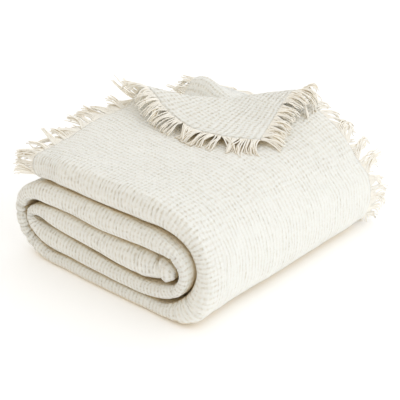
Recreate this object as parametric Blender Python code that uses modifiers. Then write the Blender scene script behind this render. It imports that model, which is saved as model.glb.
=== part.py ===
"""A fringed muslin throw, folded in four across its width and rolled flat, with one corner turned over on top.

X runs across the roll, Y along its axis and Z up. Lengths are in metres; the tables are in millimetres.
"""

import bpy
import bmesh
import numpy as np

MM = 0.001

# Driving dimensions
CLOTH = 3 * MM  # thickness of the crinkled cloth
ROLL_LENGTH = 325 * MM  # along Y: a quarter of the throw's width
FRINGE = 36 * MM  # length of the fringe past the cloth
STATIONS = 66  # sections of the cloth, from the roll's inner end to its outer end

# The rolled band, four plies thick, from its inner end outwards. Each row gives the band's mid-line in the
# X-Z section, its thickness, and how far its near end is set back.
BAND = [
    # x, z, thickness, set back
    # core, right to left
    (106, 65, 17, 2),
    (95, 63, 29, 1),
    (74, 60.5, 35, 0.5),
    (60, 59.9, 37, 0),
    (10, 59.7, 34.5, 0),
    (-45, 63.7, 28.5, 0),
    (-92, 67.5, 20, 1),
    (-115, 66.5, 15, 2),
    # first left turn
    (-127, 58.5, 12.5, 3),
    (-123.5, 46, 18, 2),
    (-108, 36.5, 28, 1),
    # second pass, left to right
    (-60, 32.9, 29.1, 0),
    (-10, 30.7, 24.6, 0),
    (35, 29, 20.9, 0),
    (75, 30.2, 19.5, 0),
    (102, 37, 19.5, 1),
    # first right turn
    (120, 49.5, 15, 2),
    (126, 66, 12.5, 3),
    (121.5, 80.5, 14, 2),
    (108, 91, 17.5, 1),
    # third pass, right to left
    (90, 94.2, 25.5, 0),
    (50, 95.2, 29.5, 0),
    (0, 94, 31, 0),
    (-50, 94.5, 30, 0),
    (-90, 94.2, 28.5, 0),
    # second left turn
    (-119, 90, 22, 1),
    (-137.5, 77, 18.5, 2),
    (-145.2, 57, 18, 2),
    (-142.3, 36.5, 19, 2),
    (-128, 19, 19, 2),
    (-104, 9.4, 17.5, 2),
    # bottom pass, left to right
    (-60, 8.4, 17.4, 2),
    (0, 8.4, 17.4, 2),
    (60, 8.8, 18.2, 2),
    (103, 10.5, 21, 2),
    # second right turn
    (127, 19.5, 32, 2),
    (139.5, 33.5, 32, 6),
    (144.3, 50, 26.5, 11),
    (144.8, 69, 22, 15),
    (139.6, 87.2, 22.5, 16.5),
    (129, 104.3, 24, 15),
    (112.5, 117.7, 28.5, 12),
    (87.5, 126.5, 32, 8.5),
    # top pass, right to left
    (50, 129, 35, 5.5),
    (0, 128.9, 35.8, 4),
    (-50, 128.5, 35, 3.5),
    (-95, 126.7, 32.5, 3.5),
    (-128, 120, 29, 4),
]
FINE = 2400  # points on the curve through the table
SOFTENING = 60  # passes that soften it
CORNER_SPACING, SPACING = 13 * MM, 40 * MM  # of stations on straight cloth, in the turned corner and elsewhere
TURN_SPACING = np.radians(17)  # turning between stations where the band turns

# The cloth runs from ply 1, outermost, round the near end to ply 2, innermost, back round the far end to
# ply 3, and round the near end again to ply 4, which lies between plies 1 and 3.
CORNER_CELLS = (7, 4, 4)  # columns of ply 1: over the flap, round its crest, and on to the near end
CELLS = {"near crease": 5, "ply 2": 1, "far crease": 3, "ply 3": 1, "inner crease": 3, "ply 4": 5}
CREASE_ROUND = 0.8  # how far the near end bulges, as a share of the band's half thickness
FAR_CREASE = -7 * MM  # ply 2 and ply 3's crease and ply 4's free edge, from the roll's far end
FOURTH_EDGE = -5 * MM

# The corner of ply 1, turned over along a crest across the top
CREST_LEFT = np.array([-130, 30]) * MM
CREST_RIGHT = np.array([54, 153]) * MM
FLAP_TIP = np.array([79, 36]) * MM
CREST_RADIUS = 10 * MM
CREST_PLUMP, CREST_PLUMP_OVER = 4.5 * MM, 60 * MM  # how much rounder the crest is at its left end, and how far on
CREST_BOW = 20 * MM  # how far the crest bows towards the near end
END_BOW = 30 * MM  # how far the flap's end edge bows out
SIDE_BOW = 8 * MM  # how far the flap's side edge bows in
FLAP_REST = 4.6 * MM  # height of the flap's tip above the ply under it, both at mid-thickness
FLAP_SETTLE = 75 * MM  # distance from the crest over which the flap comes down
TOP_LENGTH = 360 * MM  # of the band's outer end, in which its top pass lies
CORNER_LENGTH = 225 * MM  # of the band's outer end, which the turned corner takes up

# Soft humps in the outer ply and in the ply below it
HUMPS = {
    # ply: rows of x, y, radius in x, radius in y, height
    1: [(-125, -30, 40, 80, 8), (64, 150, 42, 45, 10), (-20, -60, 70, 60, 2)],
    4: [(-72, 112, 48, 21, 30)],
}
FOURTH_PULL = 34 * MM  # how far ply 4's end edge is drawn in at its corner
FOURTH_PULLED = 130 * MM  # length of the ply over which that fades
PULL_FROM, PULL_OVER = 20 * MM, 70 * MM  # where along Y the edge starts to draw in, and over what distance

# The near part of the cloth's end, all four plies alike, is drawn in
END_DRAWN = 15 * MM
END_DRAWN_OVER = 70 * MM  # length of the band over which that fades
DRAWN_FROM, DRAWN_OVER = -130 * MM, 190 * MM  # where along Y it begins to fade, and over what distance

# The side edge on the roll's far right shoulder, all four plies alike, is drawn in
SIDE_DRAWN = 15 * MM
SHOULDER_X, SHOULDER_X_OVER = -20 * MM, 60 * MM  # where along X that begins, and over what distance
SHOULDER_Z, SHOULDER_Z_OVER = 75 * MM, 35 * MM  # and the same in height

# The fringes' backing strips and locks
GAP = 0.7 * MM  # between the cloth's edge and a strip
STRIP_DEPTH, STRIP_HEIGHT = 2.4 * MM, 2.2 * MM
LOCK_WIDTH, LOCK_TIP = 3.0 * MM, 1.3 * MM
DROOP_FADE = 40 * MM  # locks near the floor droop less: the droop halves at this height
END_CLEAR = 1 * MM  # between a strip's end and its rim's end
NEAR_CELLS = 3  # of ply 4: those before its corner
SHOWN_SIDE = 560 * MM  # of ply 1's side edge, from the roll's outer end, which has its fringe close together
REST_CLEAR = 3.2 * MM  # height of a lock's middle above the cloth that it rests on, from mid-thickness


def smoothstep(value):
    """0 below 0, 1 above 1, and an even rise between."""
    value = np.clip(value, 0, 1)
    return value * value * (3 - 2 * value)


def unit(vectors):
    return vectors / np.linalg.norm(vectors, axis=-1, keepdims=True)


def through(rows, count):
    """Points evenly spread along the cubic Hermite curve through the table's rows, softened a little."""
    rows = np.array(rows, float)
    chords = np.linalg.norm(np.diff(rows[:, :2], axis=0), axis=1)
    at = np.concatenate([[0], np.cumsum(chords)])
    slope = np.gradient(rows, at, axis=0)
    place = np.linspace(0, at[-1], count)
    i = np.clip(np.searchsorted(at, place, side="right") - 1, 0, len(chords) - 1)
    k = ((place - at[i]) / chords[i])[:, None]
    span = chords[i][:, None]
    curve = (2 * k**3 - 3 * k**2 + 1) * rows[i] + (k**3 - 2 * k**2 + k) * span * slope[i]
    curve += (3 * k**2 - 2 * k**3) * rows[i + 1] + (k**3 - k**2) * span * slope[i + 1]
    for _ in range(SOFTENING):
        curve[1:-1] += 0.25 * (curve[2:] + curve[:-2] - 2 * curve[1:-1])
    return curve


def band_stations(count):
    """Each station's mid-line point, outward normal, half thickness, set back and path length.

    Stations lie closer together where the band turns: they are even in its length plus its turning.
    """
    fine = through(BAND, FINE) * MM
    tangent = np.gradient(fine[:, :2], axis=0)
    step = np.linalg.norm(tangent, axis=1)
    tangent /= step[:, None]
    turn = np.abs(np.gradient(np.unwrap(np.arctan2(tangent[:, 1], tangent[:, 0]))))
    path = np.cumsum(step) - step[0]
    spacing = np.where(path > path[-1] - CORNER_LENGTH, CORNER_SPACING, SPACING)
    effort = np.cumsum(step / spacing + turn / TURN_SPACING)
    pick = np.interp(np.linspace(effort[0], effort[-1], count), effort, np.arange(len(fine)))
    index = np.round(pick).astype(int)
    normal = np.stack([tangent[:, 1], -tangent[:, 0]], axis=1)
    return fine[index, :2], normal[index], fine[index, 2] / 2, fine[index, 3], path[index]


def half_ellipse(y, n, reach, height, turn, cells):
    """Places round a crease, its two ends left out: turn is -1 at the near end and 1 at the far end.

    They run from n + height to n - height.
    """
    angle = np.radians(np.linspace(90, -90, cells + 1)[1:-1])
    return y + turn * reach * np.cos(angle), n + height * np.sin(angle)


def humps(ply, x, y):
    """Sum of the ply's soft humps: each is its height times a round bell of the distance in its radii."""
    total = np.zeros(np.broadcast(x, y).shape)
    for cx, cy, rx, ry, height in HUMPS[ply]:
        total += height * MM * np.exp(-(((x / MM - cx) / rx) ** 2) - ((y / MM - cy) / ry) ** 2)
    return total


def crest_frame():
    """A point on the chord of the axis under the crest, its direction, and the direction across to the far side."""
    along = unit(CREST_RIGHT - CREST_LEFT)
    across = np.array([-along[1], along[0]])
    return CREST_LEFT - CREST_RADIUS * across, along, across


def crest_bow(run):
    """How far the axis under the crest bows towards the near end, at this run along its chord."""
    chord = np.linalg.norm(CREST_RIGHT - CREST_LEFT)
    return CREST_BOW * np.sin(np.pi * np.clip(run / chord, 0, 1))


def crest_radius(run):
    """Radius of the fold at this run along the crest's chord."""
    return CREST_RADIUS + CREST_PLUMP * np.exp(-((run / CREST_PLUMP_OVER) ** 2))


def flat_corner():
    """Where the flap's tip lies before the corner is turned over."""
    start, along, across = crest_frame()
    run, place = (FLAP_TIP - start) @ along, (FLAP_TIP - start) @ across
    return start + run * along + (np.pi * CREST_RADIUS - place - 2 * crest_bow(run)) * across


def turn_over(flat):
    """Folded places of flat places on ply 1, and their lift above the ply's lying height.

    Past the crest's axis the cloth first follows a half circle, then lies back towards the near end and
    settles from the crest's height down to the flap's resting height.
    """
    start, along, across = crest_frame()
    run = (flat - start) @ along
    bow = crest_bow(run)
    past = (flat - start) @ across + bow
    radius = crest_radius(run)
    angle = np.clip(past / radius, 0, np.pi)
    beyond = np.maximum(past - np.pi * radius, 0)
    place = np.minimum(past, 0) + radius * np.sin(angle) - beyond - bow
    settle = np.exp(-((beyond / FLAP_SETTLE) ** 1.5))
    lying = FLAP_REST + (2 * radius - FLAP_REST) * settle
    lift = np.where(beyond > 0, lying, radius * (1 - np.cos(angle)))
    return start + run[..., None] * along + place[..., None] * across, lift


class Throw:
    """The folded and rolled cloth, as rows of mid-thickness points from one side edge to the other."""

    def __init__(self, count):
        self.mid, self.normal, half, set_back, self.path = band_stations(count)
        self.offset = half - CLOTH / 2
        self.outer = self.mid + self.normal * self.offset[:, None]
        self.start = set_back + CREASE_ROUND * self.offset - ROLL_LENGTH / 2
        self.far = ROLL_LENGTH / 2 + FAR_CREASE - self.offset / 3
        self.top = (self.path > self.path[-1] - TOP_LENGTH) & (self.normal[:, 1] > 0.25)
        shoulder = smoothstep((self.outer[:, 0] - SHOULDER_X) / SHOULDER_X_OVER)
        shoulder *= smoothstep((self.outer[:, 1] - SHOULDER_Z) / SHOULDER_Z_OVER)
        self.side_drawn = SIDE_DRAWN * shoulder * (self.path > self.path[-1] - TOP_LENGTH)

    def place(self, row, y, share):
        """Points of one station at these Y places and shares of the half thickness."""
        y, share = np.broadcast_arrays(y, share)
        flat = self.mid[row] + np.multiply.outer(share * self.offset[row], self.normal[row])
        y = y - self.side_drawn[row] * np.clip(y / ROLL_LENGTH + 0.5, 0, 1) ** 2
        return np.stack([flat[:, 0], y, flat[:, 1]], axis=1)

    def top_height(self, x):
        """Height of ply 1's mid-thickness on the roll's top at x."""
        surface = self.outer[self.top][::-1]
        return np.interp(x, surface[:, 0], surface[:, 1])

    def drawn(self, row, y):
        """How far the cloth is drawn in from its end at this station and these Y places."""
        near_end = smoothstep(1 - (self.path[-1] - self.path[row]) / END_DRAWN_OVER)
        return END_DRAWN * near_end * (1 - smoothstep((y - DRAWN_FROM) / DRAWN_OVER))

    def slid(self, row, points, moved):
        """Points of one station moved along the roll's top in X, so that they keep their depth under it."""
        if self.top[row]:
            points[:, 2] += self.top_height(points[:, 0] + moved) - self.top_height(points[:, 0])
            points[:, 0] += moved
        return points

    def inside(self, row, y, share):
        """Points of a ply under the outermost one, drawn in at the cloth's end."""
        points = self.place(row, y, share)
        return self.slid(row, points, self.drawn(row, points[:, 1]))

    def first_ply(self, row):
        """Ply 1 at one station, from its free edge to the near end, with the corner turned over."""
        share = np.linspace(1, 0, sum(CORNER_CELLS) + 1)
        y = self.start[row] + share * (ROLL_LENGTH / 2 - self.start[row])
        points = self.place(row, y, 1.0)
        if not self.top[row]:
            return points
        reach = (CREST_RIGHT[0] - self.outer[row, 0]) / (CREST_RIGHT[0] - self.outer[-1, 0])
        if reach > 0:
            folded, lift = turn_over(self.corner_row(row, reach, share))
            points = np.column_stack([folded, self.top_height(folded[:, 0]) + lift])
        points[:, 2] += humps(1, points[:, 0], points[:, 1])
        return points

    def corner_row(self, row, reach, share):
        """Flat places of ply 1 at a station that crosses the crest, its columns gathered along the crest."""
        start, along, across = crest_frame()
        end = CREST_RIGHT + reach * (flat_corner() - CREST_RIGHT) - [0, SIDE_BOW * np.sin(np.pi * reach)]
        fine = np.linspace(0, 1, 400)
        lean = np.clip((fine - 0.40) / 0.60, 0, 1) * smoothstep((fine - 0.40) / 0.25)
        bow = END_BOW * reach**3 * np.sin(np.pi * np.clip((fine - 0.45) / 0.55, 0, 1))
        x = self.outer[row, 0] + (end[0] - self.outer[row, 0]) * lean - bow
        x += self.drawn(row, self.start[row] + (ROLL_LENGTH / 2 - self.start[row]) * fine)
        line = np.column_stack([x, self.start[row] + (end[1] - self.start[row]) * fine])
        run = (line - start) @ along
        turned = ((line - start) @ across + crest_bow(run)) / crest_radius(run)
        crest = np.minimum(np.interp([np.pi, 0], turned, fine), [0.985, 0.96])
        knots = np.cumsum([0, *CORNER_CELLS]) / sum(CORNER_CELLS)
        gathered = np.interp(1 - share, knots, [1, *crest, 0])
        share = share + (gathered - share) * smoothstep(reach / 0.1)
        return np.column_stack([np.interp(share, fine, line[:, 0]), np.interp(share, fine, line[:, 1])])

    def fourth_ply(self, row):
        """Ply 4 at one station, from the near end to its free edge, raised and drawn in at its corner."""
        y = np.linspace(self.start[row], ROLL_LENGTH / 2 + FOURTH_EDGE, CELLS["ply 4"] + 1)
        points = self.inside(row, y, 1 / 3)
        if self.top[row]:
            end = 1 - np.clip((self.path[-1] - self.path[row]) / FOURTH_PULLED, 0, 1)
            points = self.slid(row, points, FOURTH_PULL * end * smoothstep((y - PULL_FROM) / PULL_OVER))
            points[:, 2] += humps(4, points[:, 0], points[:, 1])
        return points

    def station(self, row):
        """All of one station's points, from the free edge of ply 1 to the free edge of ply 4."""
        start, far, offset = self.start[row], self.far[row], self.offset[row]
        near_turn = half_ellipse(start, 0, CREASE_ROUND * offset, 1, -1, CELLS["near crease"])
        far_turn = half_ellipse(far, -2 / 3, offset / 3, -1 / 3, 1, CELLS["far crease"])
        inner_turn = half_ellipse(start, 0, offset / 3, -1 / 3, -1, CELLS["inner crease"])
        return np.concatenate(
            [
                self.first_ply(row),
                self.inside(row, *near_turn),
                self.inside(row, np.linspace(start, far, CELLS["ply 2"] + 1), -1.0),
                self.inside(row, *far_turn),
                self.inside(row, np.linspace(far, start, CELLS["ply 3"] + 1), -1 / 3),
                self.inside(row, *inner_turn),
                self.fourth_ply(row),
            ]
        )

    def grid(self):
        """Every station's points, flattened where the bottom pass lies on the floor."""
        points = np.array([self.station(row) for row in range(len(self.path))])
        points[..., 2] = np.maximum(points[..., 2], CLOTH / 2)
        return points


def material(name, colour, roughness):
    """A plain Principled material from an sRGB hex colour."""
    made = bpy.data.materials.new(name)
    made.use_nodes = True
    shader = made.node_tree.nodes["Principled BSDF"]
    parts = [int(colour[i : i + 2], 16) / 255 for i in (1, 3, 5)]
    linear = [part / 12.92 if part <= 0.04045 else ((part + 0.055) / 1.055) ** 2.4 for part in parts]
    shader.inputs["Base Color"].default_value = (*linear, 1)
    shader.inputs["Roughness"].default_value = roughness
    return made


def add_object(name, points, faces, finish, collection):
    """One named mesh object with its normals outwards."""
    mesh = bpy.data.meshes.new(name)
    mesh.from_pydata(points.tolist(), [], faces)
    body = bmesh.new()
    body.from_mesh(mesh)
    bmesh.ops.recalc_face_normals(body, faces=body.faces[:])
    body.to_mesh(mesh)
    body.free()
    mesh.shade_smooth()
    mesh.materials.append(finish)
    made = bpy.data.objects.new(name, mesh)
    collection.objects.link(made)
    return made


def add_cloth(points, finish, collection):
    """The throw itself: the grid as an open surface, given its thickness by Solidify."""
    rows, columns = points.shape[:2]
    corners = [i * columns + j for i in range(rows - 1) for j in range(columns - 1)]
    faces = [(a, a + 1, a + columns + 1, a + columns) for a in corners]
    made = add_object("throw", points.reshape(-1, 3), faces, finish, collection)
    solidify = made.modifiers.new("Thickness", "SOLIDIFY")
    solidify.thickness = CLOTH
    solidify.offset = 0
    return made


def along_rim(rim, outward, places):
    """Points, outward directions and rim directions at these path lengths along a rim of points."""
    path = rim_path(rim)
    at = np.stack([np.interp(places, path, rim[:, axis]) for axis in range(3)], axis=1)
    out = np.stack([np.interp(places, path, outward[:, axis]) for axis in range(3)], axis=1)
    tangent = unit(np.gradient(at, axis=0))
    return at, unit(out - np.sum(out * tangent, axis=1)[:, None] * tangent), tangent


def rim_path(rim):
    """Path length at each of the rim's points."""
    return np.concatenate([[0], np.cumsum(np.linalg.norm(np.diff(rim, axis=0), axis=1))])


def strip_places(rim, locks):
    """Path lengths of a strip's sections, and the number of the section where each lock begins.

    There is a section at each side of a lock, at the strip's ends and at each bend of the rim between locks.
    """
    path = rim_path(rim)
    centre = (np.arange(locks) + 0.5) * path[-1] / locks
    clear = np.abs(path[:, None] - centre).min(axis=1) > LOCK_WIDTH
    bends = path[clear & (path > 2 * LOCK_TIP) & (path < path[-1] - 2 * LOCK_TIP)]
    ends = [END_CLEAR, path[-1] - END_CLEAR]
    places = np.sort(np.concatenate([ends, bends, centre - LOCK_WIDTH / 2, centre + LOCK_WIDTH / 2]))
    return places, np.searchsorted(places, centre) - 1


def lock_path(root, away, across, droop, floor, number, steps):
    """The places that one lock's middle passes: out from the strip, leaning a little, and drooping as it goes.

    The droop grows with the square of the run and fades near the floor, and the lock comes to rest where
    floor(x, y) says that it meets what is below.
    """
    reach = FRINGE * (0.90 + 0.10 * np.sin(2.4 * number)) - STRIP_DEPTH
    lean = 0.10 * np.sin(5.1 * number)
    places = []
    for k in np.arange(1, steps + 1) / steps:
        place = root + reach * k * (away * (1 - 0.25 * droop * k) + lean * across)
        place[2] -= 0.8 * reach * droop * k**2 * root[2] / (root[2] + DROOP_FADE)
        place[2] = max(place[2], floor(place[0], place[1]))
        places.append(place)
    return places


def add_fringe(name, rim, outward, locks, steps, droop, floor, finish, collection):
    """A narrow backing strip just off the cloth's rim, with locks drawn out of its far side.

    Each lock is pulled out of the strip's outer face in this many steps, narrowing to its tip.
    """
    places, begins = strip_places(rim, locks)
    at, out, tangent = along_rim(rim, outward, places)
    up = unit(np.cross(tangent, out))
    inner, outer, lift = at + GAP * out, at + (GAP + STRIP_DEPTH) * out, up * STRIP_HEIGHT / 2
    points = list(np.stack([inner - lift, inner + lift, outer + lift, outer - lift], axis=1).reshape(-1, 3))
    last = 4 * (len(places) - 1)
    faces = [(0, 1, 2, 3), (last, last + 3, last + 2, last + 1)]
    for i in range(len(places) - 1):
        a, b = 4 * i, 4 * i + 4
        kept = (0, 1, 3) if i in begins else (0, 1, 2, 3)
        faces += [(a + k, b + k, b + (k + 1) % 4, a + (k + 1) % 4) for k in kept]
    for number, i in enumerate(begins):
        ring = [4 * i + 2, 4 * i + 3, 4 * i + 7, 4 * i + 6]
        across, away = unit(tangent[i] + tangent[i + 1]), unit(out[i] + out[i + 1])
        before = (outer[i] + outer[i + 1]) / 2
        path = lock_path(before, away, across, droop, floor, number, steps)
        for step, place in enumerate(path, start=1):
            thick = unit(np.cross(across, place - before))
            thick *= np.sign(thick @ up[i])
            shrink = step / steps
            wide = across * (LOCK_WIDTH + (LOCK_TIP - LOCK_WIDTH) * shrink) / 2
            thick *= (STRIP_HEIGHT + (LOCK_TIP - STRIP_HEIGHT) * shrink) / 2
            new = len(points)
            points += [place - wide + thick, place - wide - thick, place + wide - thick, place + wide + thick]
            faces += [(ring[j], ring[(j + 1) % 4], new + (j + 1) % 4, new + j) for j in range(4)]
            ring = [new, new + 1, new + 2, new + 3]
            before = place
        faces.append(tuple(ring))
    return add_object(name, np.array(points), faces, finish, collection)


def column_spans():
    """First and last column of each ply in a station's points."""
    first = sum(CORNER_CELLS)
    second = first + CELLS["near crease"]
    third = second + CELLS["ply 2"] + CELLS["far crease"]
    fourth = third + CELLS["ply 3"] + CELLS["inner crease"]
    return {
        "first": (0, first),
        "second": (second, second + CELLS["ply 2"]),
        "third": (third, third + CELLS["ply 3"]),
        "fourth": (fourth, fourth + CELLS["ply 4"]),
    }


def add_fringes(throw, points, finish, collection):
    """The fringes on the cloth's edges, each on its own strip."""
    span = column_spans()
    flap, crest = CORNER_CELLS[0], sum(CORNER_CELLS[:2])
    fourth = span["fourth"][0]
    turned = np.flatnonzero(throw.top & (throw.outer[:, 0] < CREST_RIGHT[0]))
    floor_row = int(np.argmax(throw.path > throw.path[-1] - SHOWN_SIDE))

    def free(x, y):
        return LOCK_TIP / 2

    def on_top(x, y):
        return throw.top_height(x) + humps(1, x, y) + REST_CLEAR

    end_table = [
        # name, columns, locks, steps in a lock, droop, floor
        ("fringe_flap_end", (0, flap), 32, 3, 0.9, on_top),
        ("fringe_crest_end", (flap, crest), 4, 3, 0.2, free),
        ("fringe_end_1", (crest, span["first"][1]), 26, 3, 0.7, free),
        ("fringe_end_2", span["second"], 10, 2, 0.7, free),
        ("fringe_end_3", span["third"], 10, 2, 0.7, free),
        ("fringe_end_4", (fourth, fourth + NEAR_CELLS), 10, 2, 0.7, free),
        ("fringe_corner_4", (fourth + NEAR_CELLS, span["fourth"][1]), 9, 3, 0.1, free),
    ]
    end_out = unit(points[-1] - points[-2])
    for name, (low, high), *look in end_table:
        columns = slice(low, high + 1)
        add_fringe(name, points[-1, columns], end_out[columns], *look, finish, collection)
    side_table = [
        # name, side, rows, locks, steps in a lock, droop, floor
        ("fringe_flap_side", 0, (turned[3], len(points) - 1), 22, 3, 0.7, on_top),
        ("fringe_side_1", 0, (floor_row, turned[0]), 32, 3, 0.5, free),
        ("fringe_side_1_inner", 0, (0, floor_row), 18, 2, 0.5, free),
        ("fringe_side_4", -1, (0, len(points) - 1), 24, 2, 0.5, free),
    ]
    for name, side, (low, high), *look in side_table:
        rows = slice(low, high + 1)
        beside = 1 if side == 0 else -2
        outward = unit(points[rows, side] - points[rows, beside])
        add_fringe(name, points[rows, side], outward, *look, finish, collection)


def centre_over_origin(collection):
    """Moves every object alike, so that the middle of the whole object's plan is at the origin."""
    bpy.context.view_layer.update()
    graph = bpy.context.evaluated_depsgraph_get()
    corners = [corner for made in collection.objects for corner in made.evaluated_get(graph).bound_box]
    middle = (np.min(corners, axis=0) + np.max(corners, axis=0)) / 2
    for made in collection.objects:
        made.location = (-middle[0], -middle[1], 0)


def main():
    for old in list(bpy.data.objects):
        bpy.data.objects.remove(old, do_unlink=True)
    collection = bpy.data.collections.new("muslin_throw")
    bpy.context.scene.collection.children.link(collection)
    muslin = material("muslin", "#ece6da", 0.9)
    yarn = material("fringe_yarn", "#e6dccb", 0.9)
    throw = Throw(STATIONS)
    points = throw.grid()
    add_cloth(points, muslin, collection)
    add_fringes(throw, points, yarn, collection)
    centre_over_origin(collection)


main()
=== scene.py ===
# %% [markdown]
# # A fringed muslin throw, folded in four and rolled flat
#
# The real object is one woven cotton sheet, 1.3 m wide and 1.5 m long, with its yarns left long at the
# edges as a fringe. It is folded in four across its width, rolled flat along its length, and one corner of
# the outermost layer is turned over on top. This notebook dresses the plain solids with the cloth itself,
# its fringes, its finish, a floor, light and a camera. X runs across the roll, Y along its axis, Z up.

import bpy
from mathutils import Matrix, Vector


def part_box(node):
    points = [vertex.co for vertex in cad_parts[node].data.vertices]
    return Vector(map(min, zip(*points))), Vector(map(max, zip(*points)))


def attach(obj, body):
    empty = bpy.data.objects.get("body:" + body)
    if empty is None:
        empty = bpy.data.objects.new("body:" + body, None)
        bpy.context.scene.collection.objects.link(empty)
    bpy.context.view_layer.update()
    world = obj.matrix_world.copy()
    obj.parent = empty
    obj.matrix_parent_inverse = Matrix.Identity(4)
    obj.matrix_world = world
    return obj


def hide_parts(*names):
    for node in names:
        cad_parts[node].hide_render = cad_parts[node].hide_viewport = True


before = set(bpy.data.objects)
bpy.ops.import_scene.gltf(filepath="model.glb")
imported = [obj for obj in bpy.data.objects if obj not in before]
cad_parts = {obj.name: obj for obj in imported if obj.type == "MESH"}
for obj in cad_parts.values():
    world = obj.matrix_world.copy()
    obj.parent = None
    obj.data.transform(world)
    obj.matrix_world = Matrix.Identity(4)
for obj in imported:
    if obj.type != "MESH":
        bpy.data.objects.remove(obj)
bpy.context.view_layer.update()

import bpy
import numpy as np
from mathutils import Vector

print("nodes:", ", ".join(sorted(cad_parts)))

# %% [markdown]
# ## The band
#
# Folded in four, the throw is a band about 325 mm wide, and the roll is that band wound flat. Its section
# could be a spiral from a formula, but a real roll is pressed by its own weight and by the hands that made
# it, so a table of places along its middle gives the truth better.

# %% Sizes of the folded throw
MM = 0.001
CLOTH = 2.2 * MM  # thickness drawn: two thin layers of gauze with the crinkle between them
SOLID_CLOTH = 3 * MM  # thickness of the plain solid's cloth, which sets the folds' spacing
ROLL_LENGTH = 325 * MM
# x, z, thickness of the four layers, set back of the near end; mm, from the roll's middle outwards
BAND = [
    (114, 64, 9, 5), (108, 64, 23, 0), (98, 63.5, 31, -2), (87, 61, 28, 5), (74, 60.5, 35, 0.5),
    (60, 59.9, 37, 0), (10, 59.7, 34.5, 0), (-45, 63.7, 28.5, 0), (-92, 65.7, 23.6, 1), (-114, 65.8, 16.4, 2),
    (-127, 58.5, 12.5, 3), (-123.5, 46, 18, 2), (-108, 36.5, 28, 1),
    (-60, 32.9, 29.1, 0), (-10, 30.7, 24.6, 0), (35, 29, 20.9, 0), (75, 30.2, 19.5, 0), (102, 37, 19.5, 1),
    (120, 49.5, 15, 2), (126, 66, 12.5, 3), (121.5, 80.5, 14, 2), (108, 91, 17.5, 1),
    (90, 94.2, 25.5, 0), (50, 95.2, 29.5, 0), (0, 94, 31, 0), (-50, 94.5, 30, 0), (-90, 94.2, 28.5, 0),
    (-119, 90, 22, 1), (-137.5, 77, 18.5, 2), (-145.2, 57, 18, 2), (-142.3, 36.5, 19, 2),
    (-128, 19, 19, 2), (-104, 9.4, 17.5, 2),
    (-60, 8.4, 17.4, 2), (0, 8.4, 17.4, 2), (60, 8.8, 18.2, 2), (103, 10.5, 21, 2),
    (127, 19.5, 32, 2), (139.5, 33.5, 32, 6), (144.3, 50, 26.5, 11), (144.8, 69, 22, 15),
    (139.6, 87.2, 22.5, 16.5), (129, 104.3, 24, 15), (112.5, 117.7, 28.5, 12), (87.5, 126.5, 32, 8.5),
    (50, 129, 35, 5.5), (0, 128.9, 35.8, 4), (-50, 128.5, 35, 3.5), (-95, 126.7, 32.5, 3.5),
    (-128, 120, 29, 4),
]

# %% [markdown]
# ## The band's curve
#
# Cloth bends without corners, so one smooth curve joins the table's places. It could be a curve object, but
# a curve worked out here carries the thickness and the set back along with the place, and gives as many rows
# of cloth as are wanted.

# %% A smooth curve through the table
SOFTENING = 60  # passes that soften the curve through the table
FINE = 2400  # points on that curve


def unit(vectors):
    """Each vector divided by its length."""
    return vectors / np.maximum(np.linalg.norm(vectors, axis=-1, keepdims=True), 1e-12)


def through(rows, count):
    """Points on a cubic Hermite curve through the rows, drawn a quarter to their neighbours in each pass."""
    rows = np.array(rows, float)
    chords = np.linalg.norm(np.diff(rows[:, :2], axis=0), axis=1)
    at = np.concatenate([[0], np.cumsum(chords)])
    slope = np.gradient(rows, at, axis=0)
    place = np.linspace(0, at[-1], count)
    i = np.clip(np.searchsorted(at, place, side="right") - 1, 0, len(chords) - 1)
    k = ((place - at[i]) / chords[i])[:, None]
    span = chords[i][:, None]
    curve = (2 * k**3 - 3 * k**2 + 1) * rows[i] + (k**3 - 2 * k**2 + k) * span * slope[i]
    curve += (3 * k**2 - 2 * k**3) * rows[i + 1] + (k**3 - k**2) * span * slope[i + 1]
    for _ in range(SOFTENING):
        curve[1:-1] += 0.25 * (curve[2:] + curve[:-2] - 2 * curve[1:-1])
    return curve


curve = through(BAND, FINE) * MM
tangent = np.gradient(curve[:, :2], axis=0)
band_step = np.linalg.norm(tangent, axis=1)
tangent = unit(tangent)
band_path = np.cumsum(band_step) - band_step[0]
band_normal = np.stack([tangent[:, 1], -tangent[:, 0]], axis=1)
outermost = curve[:, :2] + band_normal * curve[:, 2:3] / 2
shift = np.array([
    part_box("throw")[0].x - outermost[:, 0].min(),
    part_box("throw")[1].y - ROLL_LENGTH / 2,
])
print(f"band {band_path[-1]:.3f} m long, moved by {shift / MM} mm into the frame")

# %% [markdown]
# ## Camera
#
# The camera, the floor and the light come early, so that each later step can be looked at. The camera is a
# long lens from a little above, round to the right of the near end. A short lens close by would show as
# much, but would make the near end loom large.

# %% The camera
AZIMUTH, ELEVATION = 41.29, 28.56  # degrees
DISTANCE, LENS, SENSOR = 1.7, 124.2, 36  # m, mm, mm
TARGET = (0.0240, -0.0122, 0.07)
target = Vector((TARGET[0] + shift[0], TARGET[1] + shift[1], TARGET[2]))
azimuth, elevation = np.radians(AZIMUTH), np.radians(ELEVATION)
back = Vector((
    np.sin(azimuth) * np.cos(elevation), -np.cos(azimuth) * np.cos(elevation), np.sin(elevation)))
camera = bpy.data.objects.new("camera", bpy.data.cameras.new("camera"))
bpy.context.scene.collection.objects.link(camera)
camera.data.lens = LENS
camera.data.sensor_width = SENSOR
camera.location = target + DISTANCE * back
camera.rotation_euler = (-back).to_track_quat("-Z", "Y").to_euler()
bpy.context.scene.camera = camera
print("camera at", [round(value, 3) for value in camera.location], "m")

# %% [markdown]
# ## Colours and nodes
#
# Blender's colours are linear, while the colours named here are sRGB, so one function turns them over. A
# material is a graph of nodes. It could be drawn by hand in the node editor, but one small function, which
# adds a node of any kind and gives the output that the next one reads, keeps it as plain as a sum.


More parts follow.
